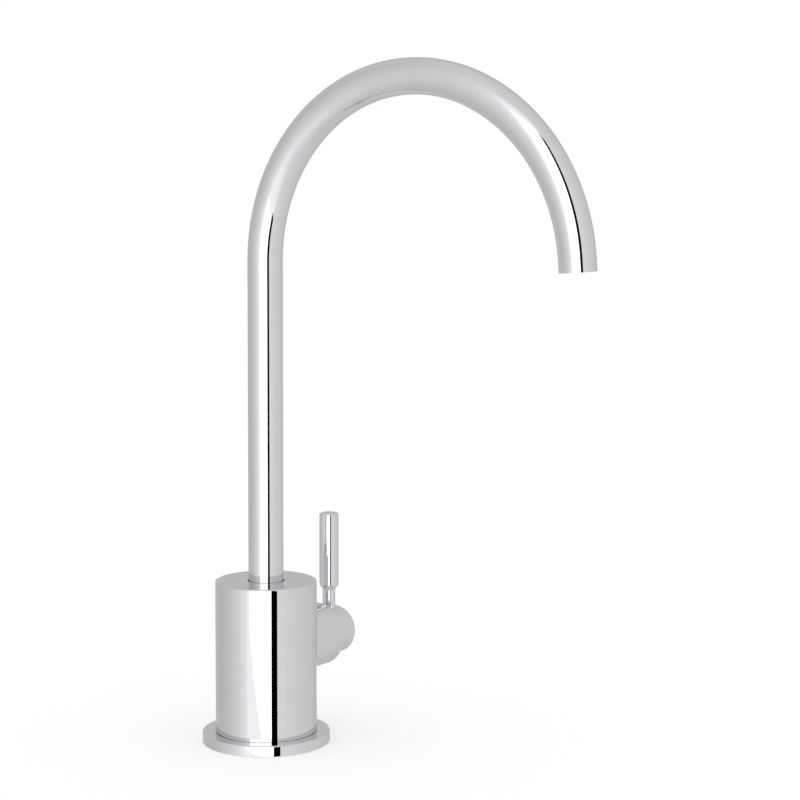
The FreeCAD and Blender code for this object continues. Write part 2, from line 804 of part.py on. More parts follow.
def make_valve_spindle(doc):
    """Make the spindle with its drive plate, tenon, ring groove and clip groove."""
    clip = "circlip_rise - plate_rise"
    blank = turned_body(doc, "spindle_blank", [
        ("0", "0"),
        ("plate_radius", "0"),
        ("plate_radius", "plate_height"),
        ("spindle_radius", "plate_height"),
        ("spindle_radius", "spindle_groove_start"),
        ("spindle_groove", "spindle_groove_start"),
        ("spindle_groove", "spindle_groove_start + spindle_groove_width"),
        ("spindle_radius", "spindle_groove_start + spindle_groove_width"),
        ("spindle_radius", clip),
        ("circlip_groove", clip),
        ("circlip_groove", clip + " + circlip_height"),
        ("spindle_radius", clip + " + circlip_height"),
        ("spindle_radius", "spindle_length"),
        ("0", "spindle_length"),
    ])
    tenon = sketch_on(blank, "tenon_outline", "XY_Plane")
    draw_polygon(tenon, rectangle("tenon_width", "2 * disc_opening", "-disc_opening"))
    pad(blank, "tenon", tenon, "tenon_height", reverse=True)
    openings = make_openings(doc, "plate", "plate_height", 180)
    spindle = cut(doc, "valve_spindle", blank, [openings])
    return place_along_x(spindle, "plate_rise - seat_offset")


def make_spindle_o_ring(doc):
    ring = make_torus(doc, "spindle_o_ring",
                      "spindle_bore - o_ring_gap - spindle_ring_section", "spindle_ring_section")
    return place_along_x(ring, "plate_rise + spindle_groove_start + spindle_groove_width / 2 - seat_offset")


def make_spindle_circlip(doc):
    outline = ring_outline("circlip_groove + braze_gap", "circlip_radius", "circlip_height - braze_gap")
    ring = turned_body(doc, "circlip_ring", outline)
    gap = make_box(doc, "circlip_mouth", "circlip_gap", "2 * circlip_radius", "2 * circlip_height")
    bind(gap, Placement__Base__y="0")
    return place_along_x(cut(doc, "spindle_circlip", ring, [gap]), "circlip_rise - seat_offset")


# End of the branch, hub and lever

def make_bonnet_ring(doc):
    ring_radius = "bonnet_radius - thread_gap"
    ring = turned_body(doc, "bonnet_ring", [
        ("bonnet_bore", "0"),
        (ring_radius, "0"),
        (ring_radius, "bonnet_depth - bonnet_edge"),
        (ring_radius + " - bonnet_edge", "bonnet_depth"),
        ("bonnet_bore", "bonnet_depth"),
    ])
    return place_along_x(ring, "bonnet_base")


def make_hub_bush(doc):
    bush = turned_body(doc, "hub_bush", [
        ("bush_inner", "0"),
        ("bonnet_bore - bush_gap", "0"),
        ("bonnet_bore - bush_gap", "bonnet_depth"),
        ("bush_flange_radius", "bonnet_depth"),
        ("bush_flange_radius", "bonnet_depth + bush_flange_height"),
        ("bush_inner", "bonnet_depth + bush_flange_height"),
    ])
    return place_along_x(bush, "bonnet_base")


def make_lever_hub(doc):
    """Make the drum with its neck, spindle bore, lever hole and screw hole."""
    body = turned_body(doc, "lever_hub", [
        ("hub_bore", "0"),
        ("hub_neck_radius", "0"),
        ("hub_neck_radius", "hub_neck_length"),
        ("hub_radius - hub_edge", "hub_neck_length"),
        ("hub_radius", "hub_neck_length + hub_edge"),
        ("hub_radius", "hub_reach"),
        ("0", "hub_reach"),
        ("0", "hub_bore_depth"),
        ("hub_bore", "hub_bore_depth"),
    ])
    ease_edge(body, "Fillet", "hub_round", "hub_radius", "hub_reach")
    # the drum's own -X is the tap's +Z
    thread = sketch_on(body, "lever_thread_circle", "YZ_Plane", "spigot_space - spigot_end")
    draw_circle(thread, "spigot_radius + thread_gap", y="lever_rise")
    pocket(body, "lever_thread", thread)
    seat = sketch_on(body, "lever_seat_circle", "YZ_Plane", "stem_seat - hub_radius")
    draw_circle(seat, "stem_radius + stem_gap", y="lever_rise")
    pocket(body, "lever_seat", seat)
    screw = sketch_on(body, "screw_circle", "YZ_Plane")
    draw_circle(screw, "screw_radius + thread_gap", y="lever_rise")
    pocket(body, "screw_hole", screw, reverse=True)
    return place_along_x(body, "hub_base")


def make_lever_arm(doc):
    """Make the lever: a threaded spigot, a thin stem, a cone and the grip."""
    body = turned_body(doc, "lever_arm", [
        ("0", "spigot_end"),
        ("spigot_radius", "spigot_end"),
        ("spigot_radius", "hub_radius - stem_seat"),
        ("stem_radius", "hub_radius - stem_seat"),
        ("stem_radius", "stem_top"),
        ("grip_radius", "grip_start"),
        ("grip_radius", "grip_top"),
        ("0", "grip_top"),
    ])
    ease_edge(body, "Fillet", "grip_edge", "grip_radius", "grip_top")
    return place(body, x="lever_x", z="valve_axis")


def make_hub_grub_screw(doc):
    """Make the set screw below the spindle, with its hexagon socket facing down."""
    blank = make_cylinder(doc, "screw_blank", "screw_radius", "screw_length")
    socket = doc.addObject("Part::Prism", "screw_socket")
    socket.Polygon = 6
    bind(socket, Circumradius="screw_socket_radius", Height="screw_socket_depth")
    doc.recompute()
    screw = cut(doc, "hub_grub_screw", blank, [socket])
    return place(screw, x="lever_x", z="valve_axis - hub_radius + screw_recess - thread_gap")


# Tail through the deck and its clamp

def make_mounting_shank(doc):
    """Make the hollow tail. A shallow relief sets off the stretch that takes the supply nut."""
    relief_radius = "shank_radius - relief_depth"
    shank = turned_body(doc, "mounting_shank", [
        ("shank_bore", "0"),
        ("shank_radius - shank_edge", "0"),
        ("shank_radius", "shank_edge"),
        ("shank_radius", "relief_start"),
        (relief_radius, "relief_start"),
        (relief_radius, "relief_end"),
        ("shank_radius", "relief_end"),
        ("shank_radius", "shank_length"),
        ("shank_bore", "shank_length"),
    ])
    return place(shank, z="shank_base")


def make_shank_seal(doc):
    outline = ring_outline("shank_radius - shank_seal_wall", "shank_radius", "shank_seal_height")
    return place(turned_body(doc, "shank_seal", outline), z="foot + shank_depth - shank_seal_height")


def make_washer(doc, name, height, top):
    outline = ring_outline("flange_bore", "washer_radius", height)
    return place(turned_body(doc, name, outline), z=f"{top} - {height}")


def make_back_nut(doc):
    """Make the hexagon nut: a bevelled turning within a six-sided prism."""
    hole = "shank_radius + nut_clearance"
    blank = turned_body(doc, "nut_blank", [
        (hole, "0"),
        ("nut_flats / 2", "0"),
        ("nut_corner", "nut_bevel"),
        ("nut_corner", "nut_height - nut_bevel"),
        ("nut_flats / 2", "nut_height"),
        (hole, "nut_height"),
    ])
    prism = doc.addObject("Part::Prism", "nut_prism")
    prism.Polygon = 6
    bind(prism, Circumradius="nut_corner", Height="nut_height")
    nut = doc.addObject("Part::Common", "back_nut")
    nut.Base = blank
    nut.Tool = prism
    return place(nut, z="nut_base")


def check(doc, pieces):
    """Stop if any object failed or any piece has no sound shape."""
    for thing in doc.Objects:
        if "Invalid" in thing.State or "Error" in thing.State:
            raise RuntimeError(f"{thing.Label} failed: {thing.State}")
    for piece in pieces:
        if piece.Shape.isNull() or not piece.Shape.isValid():
            raise RuntimeError(f"{piece.Label} has no valid shape")


def main():
    doc = FreeCAD.newDocument("dispenser_tap")
    make_sheets(doc)
    pieces = [
        make_base_flange(doc),
        make_flange_gasket(doc),
        make_body_shell(doc),
        make_valve_block(doc),
        make_spout_tube(doc),
        make_spout_ferrule(doc),
        make_spout_o_rings(doc),
        make_thrust_ring(doc),
        make_bearing_ring(doc),
        make_spout_gland(doc),
        make_flow_straightener(doc),
        make_cartridge_body(doc),
        make_cartridge_o_ring(doc),
        make_seat_seal(doc),
        make_fixed_disc(doc),
        make_moving_disc(doc),
        make_valve_spindle(doc),
        make_spindle_o_ring(doc),
        make_spindle_circlip(doc),
        make_bonnet_ring(doc),
        make_hub_bush(doc),
        make_lever_hub(doc),
        make_lever_arm(doc),
        make_hub_grub_screw(doc),
        make_mounting_shank(doc),
        make_shank_seal(doc),
        make_washer(doc, "deck_rubber_washer", "rubber_washer_height", "rubber_top"),
        make_washer(doc, "deck_steel_washer", "steel_washer_height", "steel_top"),
        make_back_nut(doc),
    ]
    doc.recompute()
    check(doc, pieces)
    os.makedirs("parts", exist_ok=True)
    for piece in pieces:
        piece.Shape.exportStep(f"parts/{piece.Label}.step")
        box = piece.Shape.BoundBox
        print(f"{piece.Label}: {len(piece.Shape.Solids)} solid, {piece.Shape.Volume:.0f} mm3,"
              f" z {box.ZMin:.2f} to {box.ZMax:.2f}")


main()
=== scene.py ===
# %% [markdown]
# # A dispenser tap in polished chrome
# This lesson dresses a tap that was built as exact solids. The solids arrive as a fixed
# frame: they already have their places and their joints, and Blender only gives them
# their finish, their fine detail, a studio and a camera.

import json
import math
from collections import namedtuple

import bpy
from mathutils import Matrix, Vector


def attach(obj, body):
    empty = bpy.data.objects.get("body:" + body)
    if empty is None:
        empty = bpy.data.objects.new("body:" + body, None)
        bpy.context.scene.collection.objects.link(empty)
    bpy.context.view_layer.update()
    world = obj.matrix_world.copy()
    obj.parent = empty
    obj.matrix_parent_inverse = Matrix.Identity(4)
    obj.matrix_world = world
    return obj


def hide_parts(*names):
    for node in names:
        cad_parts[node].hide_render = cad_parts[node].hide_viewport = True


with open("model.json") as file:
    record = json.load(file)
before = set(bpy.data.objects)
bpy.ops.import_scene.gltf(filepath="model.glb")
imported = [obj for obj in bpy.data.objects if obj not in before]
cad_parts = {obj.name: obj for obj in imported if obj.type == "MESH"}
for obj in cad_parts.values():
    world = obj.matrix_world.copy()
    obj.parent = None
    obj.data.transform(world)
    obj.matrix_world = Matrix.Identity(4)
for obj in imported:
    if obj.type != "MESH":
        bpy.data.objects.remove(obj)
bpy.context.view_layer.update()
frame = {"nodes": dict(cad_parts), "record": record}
MM = 0.001

# %% [markdown]
# ## Colours and nodes
# Every colour below is written as a picture program shows it, in sRGB. Blender's shaders
# work in linear light, so one function turns the first into the second. Another adds a
# node and joins it up, because a material is mostly that, and so is a shape that follows
# a rule. A node may have several sockets of one name, of which its settings leave one in
# use, and find_socket picks that one.

# %% Colours and nodes
def linear(hex_code):
    """Return the linear colour of an sRGB code such as "#C0C0C0", by the standard's curve."""
    channels = [int(hex_code[place:place + 2], 16) / 255 for place in (1, 3, 5)]
    return [c / 12.92 if c <= 0.04045 else ((c + 0.055) / 1.055) ** 2.4 for c in channels] + [1.0]


def find_socket(sockets, key):
    """Return the socket in use that has this name, or this place among those in use."""
    in_use = [socket for socket in sockets if socket.enabled]
    if isinstance(key, int):
        return in_use[key]
    return next(socket for socket in in_use if socket.name == key)


def add_node(tree, kind, links=None, **settings):
    """Add one node. links gives each input a value, an output to join to it, or a node.

    A node stands for the first of its outputs.
    """
    made = tree.nodes.new(kind)
    for name, value in settings.items():
        setattr(made, name, value)
    for key, value in (links or {}).items():
        if isinstance(value, bpy.types.Node):
            value = find_socket(value.outputs, 0)
        if isinstance(value, bpy.types.NodeSocket):
            tree.links.new(value, find_socket(made.inputs, key))
        else:
            find_socket(made.inputs, key).default_value = value
    return made


print("node helpers ready, a mid grey is", round(linear("#808080")[0], 3), "in linear light")

# %% [markdown]
# ## What the materials share
# No material here is one even colour. A noise, at a real size in millimetres, moves the
# colour between two close shades and the roughness between two values, and the same noise
# or another pattern raises the surface. Most of what a noise texture gives lies between
# 0.3 and 0.7, so that stretch is drawn out to the whole range of the roughness. All
# patterns read object coordinates: the finished pieces stand at the origin, so a pattern
# neither slides nor turns when a piece moves. The numbers of a pattern stand together
# under one name, as the inputs of the node that they go into.

# %% Material helpers
NOISE_SPAN = {"From Min": 0.3, "From Max": 0.7}


def scale_for(mm):
    """Return a texture's scale for features of this size."""
    return 1 / (mm * MM)


def empty_material(name):
    """Return a new material and its node tree, which is still empty."""
    material = bpy.data.materials.new(name)
    material.use_nodes = True
    material.node_tree.nodes.clear()
    return material, material.node_tree


def finish_material(tree, tone, shades, grain, roughness, relief, depth, links=None):
    """End a material's tree with a Principled shader.

    The tone moves the colour from the first shade to the second, the grain does the same
    with the roughness, and the relief raises the surface. links gives other inputs.
    """
    colour = {"Factor": tone, "A": linear(shades[0]), "B": linear(shades[1])}
    rough = {"Value": grain, **NOISE_SPAN, "To Min": roughness[0], "To Max": roughness[1]}
    shader = add_node(tree, "ShaderNodeBsdfPrincipled", {
        "Base Color": add_node(tree, "ShaderNodeMix", colour, data_type="RGBA"),
        "Roughness": add_node(tree, "ShaderNodeMapRange", rough),
        "Normal": add_node(tree, "ShaderNodeBump", {"Height": relief, **depth}),
        **(links or {}),
    })
    add_node(tree, "ShaderNodeOutputMaterial", {"Surface": shader})


print("material helpers ready, features of 1 mm have scale", round(scale_for(mm=1.0)))

# %% [markdown]
# ## Polished chrome plate on brass
# The seen parts are turned or bent from brass, buffed bright, and then plated. Nickel
# levels the surface and a very thin skin of chromium gives the cool colour. Such a metal
# has almost no look of its own: it shows the room. A painted gradient would look right
# from one side only, so the base colour is a light, slightly blue grey, the roughness is
# close to nothing, and all the drawing comes from the studio further below. Chromium
# mirrors a little less at a slant, which the specular tint holds. What is left of the
# buffing wheel is a faint haze and a very fine waviness, and these keep a close view from
# looking like plain computer metal.

# %% Chrome material
CHROME_SHADES = ("#DDDFE2", "#E3E4E6")
CHROME_ROUGHNESS = (0.012, 0.024)
CHROME_SLANT_TINT = "#EFEFEF"
HAZE = {"Scale": scale_for(mm=9.0), "Detail": 3.0}
BUFFING = {"Scale": scale_for(mm=0.5), "Detail": 2.0}
BUFFING_DEPTH = {"Strength": 0.02, "Distance": 0.002 * MM}


def make_chrome():
    material, tree = empty_material("polished_chrome_plate_on_brass")
    place = add_node(tree, "ShaderNodeTexCoord").outputs["Object"]
    haze = add_node(tree, "ShaderNodeTexNoise", {"Vector": place, **HAZE})
    buffing = add_node(tree, "ShaderNodeTexNoise", {"Vector": place, **BUFFING})
    finish_material(tree, tone=haze, shades=CHROME_SHADES,
                    grain=haze, roughness=CHROME_ROUGHNESS,
                    relief=buffing, depth=BUFFING_DEPTH,
                    links={"Metallic": 1.0, "Specular Tint": linear(CHROME_SLANT_TINT)})
    return material


chrome = make_chrome()
print("made", chrome.name)

# %% [markdown]
# ## Machined brass
# The valve block, the ferrule and the tail are turned in a lathe. The tool leaves fine
# rings, a tenth of a millimetre apart, which stretch each highlight across them. A wave
# texture draws such rings better than a noise does. Too fine for the picture, they are
# four times as coarse here. At scale 1 the bands of that texture are tau / 20 apart, so
# the scale is multiplied by that.

# %% Brass material
BRASS_SHADES = ("#C2A062", "#DDBF80")
BRASS_ROUGHNESS = (0.22, 0.34)
TARNISH = {"Scale": scale_for(mm=6.0), "Detail": 5.0}
BAND_WIDTH = math.tau / 20
RINGS = {"Scale": scale_for(mm=0.4) * BAND_WIDTH, "Distortion": 0.6, "Detail": 2.0, "Detail Scale": 2.0}
RING_DEPTH = {"Strength": 0.25, "Distance": 0.01 * MM}


def make_brass():
    material, tree = empty_material("turned_brass")
    place = add_node(tree, "ShaderNodeTexCoord").outputs["Object"]
    tarnish = add_node(tree, "ShaderNodeTexNoise", {"Vector": place, **TARNISH})
    rings = add_node(tree, "ShaderNodeTexWave", {"Vector": place, **RINGS},
                     wave_type="BANDS", bands_direction="Z")
    finish_material(tree, tone=tarnish, shades=BRASS_SHADES,
                    grain=tarnish, roughness=BRASS_ROUGHNESS,
                    relief=rings.outputs["Fac"], depth=RING_DEPTH,
                    links={"Metallic": 1.0})
    return material


brass = make_brass()
print("made", brass.name)

# %% [markdown]
# ## Rubber, plastics and ceramic
# Nitrile rubber is pressed in a mould and dusted with talc: dull black, with a fine
# grain. Acetal is moulded and has a slight wax-like sheen. The valve's ceramic discs are
# lapped flat and nearly smooth. Each could have a tree of its own, but all are one recipe
# with other values, so one function makes them.

# %% Moulded materials
CLOUD = {"Scale": scale_for(mm=4.0), "Detail": 4.0}
GRAIN_DETAIL = 3.0
GRAIN_STRENGTH = 0.4
ROUGHNESS_SWING = 0.06


def make_moulded(name, shades, grain_mm, roughness, depth_mm, sheen=0.0):
    """Return a dull moulded material with a grain of that size and depth."""
    material, tree = empty_material(name)
    place = add_node(tree, "ShaderNodeTexCoord").outputs["Object"]
    cloud = add_node(tree, "ShaderNodeTexNoise", {"Vector": place, **CLOUD})
    grain_size = {"Scale": scale_for(grain_mm), "Detail": GRAIN_DETAIL}
    grain = add_node(tree, "ShaderNodeTexNoise", {"Vector": place, **grain_size})
    finish_material(tree, tone=cloud, shades=shades,
                    grain=grain, roughness=(roughness - ROUGHNESS_SWING, roughness + ROUGHNESS_SWING),
                    relief=grain, depth={"Strength": GRAIN_STRENGTH, "Distance": depth_mm * MM},
                    links={"Sheen Weight": sheen})
    return material


rubber = make_moulded("pressed_nitrile_rubber", ("#1B1B1C", "#2A2A2B"),
                      grain_mm=0.35, roughness=0.8, depth_mm=0.05, sheen=0.1)
black_acetal = make_moulded("moulded_black_acetal", ("#19191B", "#232326"),
                            grain_mm=0.25, roughness=0.42, depth_mm=0.01)
white_acetal = make_moulded("moulded_white_acetal", ("#D9D9D4", "#E6E6E2"),
                            grain_mm=0.25, roughness=0.38, depth_mm=0.01)
ceramic = make_moulded("lapped_alumina_ceramic", ("#E0DBD0", "#ECE8DF"),
                       grain_mm=0.15, roughness=0.2, depth_mm=0.003)
print("made", rubber.name, black_acetal.name, white_acetal.name, ceramic.name)

# %% [markdown]
# ## Red fibre
# The washer between tail and body is punched from vulcanised fibre, paper soaked and
# pressed hard. Short fibres show as pale flecks. Drawn one by one they would be thousands
# of strokes, and a noise that is drawn out in the sheet's plane and pressed together
# across it gives the same look.

# %% Fibre material
FIBRE_SHADES = ("#7C2318", "#A8483A")
FIBRE_ROUGHNESS = (0.6, 0.75)
SHEET_GRAIN = {"Scale": (1.0, 0.25, 3.0)}
FLECKS = {"Scale": scale_for(mm=0.5), "Detail": 5.0, "Distortion": 0.8}
FLECK_DEPTH = {"Strength": 0.5, "Distance": 0.04 * MM}


def make_fibre():
    material, tree = empty_material("vulcanised_red_fibre")
    place = add_node(tree, "ShaderNodeTexCoord").outputs["Object"]
    stretched = add_node(tree, "ShaderNodeMapping", {"Vector": place, **SHEET_GRAIN})
    flecks = add_node(tree, "ShaderNodeTexNoise", {"Vector": stretched, **FLECKS})
    finish_material(tree, tone=flecks, shades=FIBRE_SHADES,
                    grain=flecks, roughness=FIBRE_ROUGHNESS,
                    relief=flecks, depth=FLECK_DEPTH)
    return material


fibre = make_fibre()
print("made", fibre.name)

# %% [markdown]
# ## Stainless steel
# Stamped washers, circlips and set screws are tumbled, which leaves a satin surface full
# of tiny scratches in every direction. A noise that is bent a lot runs in such streaks,
# and one noise serves for colour, roughness and relief, because a scratch is all three.

# %% Steel material
STEEL_SHADES = ("#A9ABAE", "#C6C8CA")
STEEL_ROUGHNESS = (0.24, 0.38)
SCRATCHES = {"Scale": scale_for(mm=0.4), "Detail": 8.0, "Distortion": 1.5}
SCRATCH_DEPTH = {"Strength": 0.2, "Distance": 0.02 * MM}


def make_steel():
    material, tree = empty_material("tumbled_stainless_steel")
    place = add_node(tree, "ShaderNodeTexCoord").outputs["Object"]
    scratches = add_node(tree, "ShaderNodeTexNoise", {"Vector": place, **SCRATCHES})
    finish_material(tree, tone=scratches, shades=STEEL_SHADES,
                    grain=scratches, roughness=STEEL_ROUGHNESS,
                    relief=scratches, depth=SCRATCH_DEPTH,
                    links={"Metallic": 1.0})
    return material


steel = make_steel()
print("made", steel.name)

# %% [markdown]
# ## Dress the solids
# Each solid carries the name of a finish from the frame. Materials could be picked piece
# by piece, but a list from finish to material does it for all, and for a piece added
# later. The solids' own slots take them, and the meshes stay as they are.

# %% Give every solid its material
FINISHES = {
    "polished_chrome": chrome,
    "machined_brass": brass,
    "black_rubber": rubber,
    "black_acetal": black_acetal,
    "red_fibre": fibre,
    "alumina_ceramic": ceramic,
    "stainless_steel": steel,
    "white_acetal": white_acetal,
}

for subpart in frame["record"]["subparts"]:
    solid = frame["nodes"][subpart["node"]]
    for slot in solid.material_slots:
        slot.material = FINISHES[subpart["material_slot"]]

# %% [markdown]
# ## Shapes that follow a rule
# Two pieces are made new below, finer than their solids. A loop could work out their
# points one by one, but a geometry tree holds the rule itself, with the piece's sizes as
# its named inputs, so a changed size gives a changed piece. Each tree moves the points of
# a grid, welds the edges that come to lie on each other, and keeps edges that turn
# sharply crisp. At the end the result becomes a plain mesh.

# %% Geometry trees
WELD_DISTANCE = 0.001 * MM
SHARP_ANGLE = math.radians(40)


def new_node_tree(name, inputs):
    """Return an empty geometry tree with these inputs, and the outputs of its input node."""
    tree = bpy.data.node_groups.new(name, "GeometryNodeTree")
    for label in inputs:
        tree.interface.new_socket(label, in_out="INPUT", socket_type="NodeSocketFloat")
    tree.interface.new_socket("Geometry", in_out="OUTPUT", socket_type="NodeSocketGeometry")
    return tree, add_node(tree, "NodeGroupInput").outputs


def end_tree(tree, grid, position, material):
    """Move the grid's points, weld them, keep sharp edges crisp and give the piece its material."""
    moved = add_node(tree, "GeometryNodeSetPosition", {"Geometry": grid, "Position": position})
    welded = add_node(tree, "GeometryNodeMergeByDistance", {"Geometry": moved, "Distance": WELD_DISTANCE})
    smooth = add_node(tree, "GeometryNodeSetShadeSmooth", {"Geometry": welded})
    angle = add_node(tree, "GeometryNodeInputMeshEdgeAngle").outputs["Unsigned Angle"]
    soft = add_node(tree, "ShaderNodeMath", {0: angle, 1: SHARP_ANGLE}, operation="LESS_THAN")
    edged = add_node(tree, "GeometryNodeSetShadeSmooth", {"Geometry": smooth, "Shade Smooth": soft},
                     domain="EDGE")
    whole = add_node(tree, "GeometryNodeRealizeInstances", {"Geometry": edged})
    dressed = add_node(tree, "GeometryNodeSetMaterial", {"Geometry": whole, "Material": material})
    add_node(tree, "NodeGroupOutput", {"Geometry": dressed})


def grow(name, tree, sizes):
    """Run a geometry tree with these sizes, and return what it makes as a plain object."""
    seed = bpy.data.objects.new(name + "_seed", bpy.data.meshes.new(name + "_seed"))
    bpy.context.scene.collection.objects.link(seed)
    modifier = seed.modifiers.new(name, "NODES")
    modifier.node_group = tree
    for item in tree.interface.items_tree:
        if item.in_out == "INPUT":
            modifier[item.identifier] = sizes[item.name]
    grown = seed.evaluated_get(bpy.context.evaluated_depsgraph_get())
    piece = bpy.data.objects.new(name, bpy.data.meshes.new_from_object(grown))
    bpy.data.objects.remove(seed)
    bpy.context.scene.collection.objects.link(piece)
    return piece


print("ready to grow pieces")

# %% [markdown]
# ## A grid that rolls up
# Both pieces are hollow and round, and Blender's own cylinder is neither bent nor
# threaded. A flat grid serves for both. A column of it is a place round the piece and a
# row is a place along it, so the rule only has to say how far from the axis, and how
# high, each row goes. The rows run up the outside and come back down the bore to where
# they began, which also closes the piece's two ends.

# %% Rolled grid
def numbered_grid(tree, last_row, columns):
    """Return a flat grid, and two fields: each point's share of a full turn, and its row."""
    rows = add_node(tree, "ShaderNodeMath", {0: last_row, 1: 1.0}, operation="ADD")
    grid = add_node(tree, "GeometryNodeMeshGrid", {
        "Size X": 1.0,
        "Size Y": last_row,
        "Vertices X": columns + 1,
        "Vertices Y": rows,
    })
    position = add_node(tree, "GeometryNodeInputPosition")
    place = add_node(tree, "ShaderNodeSeparateXYZ", {"Vector": position}).outputs
    turn = add_node(tree, "ShaderNodeMath", {0: place["X"], 1: 0.5}, operation="ADD")
    row = add_node(tree, "ShaderNodeMath", {0: last_row, 1: 0.5, 2: place["Y"]},
                   operation="MULTIPLY_ADD")
    return grid, turn, row


def roll_up(tree, radius, height, turn):
    """Return places this far from the Z axis, this high, and this share of a turn round it."""
    spoke = add_node(tree, "ShaderNodeCombineXYZ", {"X": radius, "Z": height})
    angle = add_node(tree, "ShaderNodeMath", {0: turn, 1: math.tau}, operation="MULTIPLY")
    return add_node(tree, "ShaderNodeVectorRotate", {"Vector": spoke, "Angle": angle},
                    rotation_type="Z_AXIS")


print("ready to roll up grids")

# %% [markdown]
# ## The spout
# The spout is one length of 16 mm tube: a straight leg, a bend of a little under half a
# turn, and a short straight end. The solid's own mesh is faceted, and polished metal
# shows every facet as a kink in a highlight, so the tube is drawn again here, finer. A
# curve with a round bevel could draw its outside, but has no bore.
#
# The rule works as a tube bender does. The tube is fed past a round former, and what has
# passed it is turned about the former's centre, so the middle line is exactly a line, an
# arc and a line.

# %% Spout
SPOUT_SIZES = {
    "Foot": 59.6 * MM,
    "Leg": 160.6 * MM,
    "Bend Radius": 81.8 * MM,
    "Bend Angle": math.radians(175.4),
    "End": 5.0 * MM,
    "Radius": 8.0 * MM,
    "Bore": 7.0 * MM,
}
SPOUT_ROWS = 220
SPOUT_LAP = 2 * (SPOUT_ROWS + 1)
SPOUT_COLUMNS = 96


def spout_along(tree, row, length):
    """Return how far along the tube each row lies, and whether it lies in the bore.

    The rows turn back halfway round the lap, and the last one comes to lie on the first.
    """
    halfway = SPOUT_ROWS + 0.5
    round_row = add_node(tree, "ShaderNodeMath", {0: row, 1: SPOUT_LAP}, operation="MODULO")
    in_bore = add_node(tree, "ShaderNodeMath", {0: round_row, 1: halfway}, operation="GREATER_THAN")
    up_row = add_node(tree, "ShaderNodeMath", {0: round_row, 1: halfway}, operation="PINGPONG")
    share = add_node(tree, "ShaderNodeMath", {0: up_row, 1: SPOUT_ROWS}, operation="DIVIDE")
    along = add_node(tree, "ShaderNodeMath", {0: share, 1: length}, operation="MULTIPLY")
    return along, in_bore


def spout_place(tree, given, turn, row):
    """Return where each point of the spout's grid goes."""
    leg, bend_radius, bend_angle = given["Leg"], given["Bend Radius"], given["Bend Angle"]
    arc = add_node(tree, "ShaderNodeMath", {0: bend_radius, 1: bend_angle}, operation="MULTIPLY")
    bend_end = add_node(tree, "ShaderNodeMath", {0: leg, 1: arc}, operation="ADD")
    length = add_node(tree, "ShaderNodeMath", {0: bend_end, 1: given["End"]}, operation="ADD")
    along, in_bore = spout_along(tree, row, length)
    on_leg = add_node(tree, "ShaderNodeMath", {0: along, 1: leg}, operation="MINIMUM")
    bent = add_node(tree, "ShaderNodeMapRange",
                    {"Value": along, "From Min": leg, "From Max": bend_end, "To Max": bend_angle})
    on_end = add_node(tree, "ShaderNodeMapRange",
                      {"Value": along, "From Min": bend_end, "From Max": length, "To Max": given["End"]})
    walls = {"A": given["Radius"], "B": given["Bore"]}
    radius = add_node(tree, "ShaderNodeMix", {"Factor": in_bore, **walls})
    ring = roll_up(tree, radius, on_end, turn)
    to_user = add_node(tree, "ShaderNodeMath", {0: bend_radius, 1: -1.0}, operation="MULTIPLY")
    former = add_node(tree, "ShaderNodeCombineXYZ", {"Y": to_user})
    turned = add_node(tree, "ShaderNodeVectorRotate", {"Vector": ring, "Center": former, "Angle": bent},
                      rotation_type="X_AXIS")
    height = add_node(tree, "ShaderNodeMath", {0: given["Foot"], 1: on_leg}, operation="ADD")
    lift = add_node(tree, "ShaderNodeCombineXYZ", {"Z": height})
    return add_node(tree, "ShaderNodeVectorMath", {0: turned, 1: lift}, operation="ADD")


def spout_tree():
    tree, given = new_node_tree("bent_tube", SPOUT_SIZES)
    grid, turn, row = numbered_grid(tree, SPOUT_LAP, SPOUT_COLUMNS)
    end_tree(tree, grid, spout_place(tree, given, turn, row), chrome)
    return tree


spout = grow("polished_spout", spout_tree(), SPOUT_SIZES)
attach(spout, "spout")
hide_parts("spout_tube")
print("bent the spout:", len(spout.data.polygons), "faces")

# %% [markdown]
# ## The thread's shape
# The tail below the deck carries a half-inch pipe thread along its whole length. A lathe
# would cut it by moving a pointed tool 1.814 mm along for each turn of the brass. The
# solid is plain here, because a thread of forty turns is heavy to build and moves
# nothing. Plain rings stacked up would be easier than a helix, but the thread's end would
# give them away.
#
# The ridge rises and falls once for each turn, with a narrow flat on its crest and one at
# its root. Two places break it: the groove that sets off the stretch for the supply nut,
# and the chamfer at each end.

# %% Thread shape
TAIL_SIZES = {
    "Base": -55.0 * MM,
    "Length": 71.0 * MM,
    "Radius": 10.4775 * MM,
    "Bore": 6.5 * MM,
    "Pitch": 1.814 * MM,
    "Depth": 1.162 * MM,
    "Groove Middle": 11.75 * MM,
    "Groove Half Width": 0.75 * MM,
    "Run Out": 0.5 * MM,
    "Chamfer Below Root": 0.1 * MM,
}
ROWS_PER_TURN = 8
FLANK = {"From Min": 0.06, "From Max": 0.44, "To Min": 1.0, "To Max": 0.0}


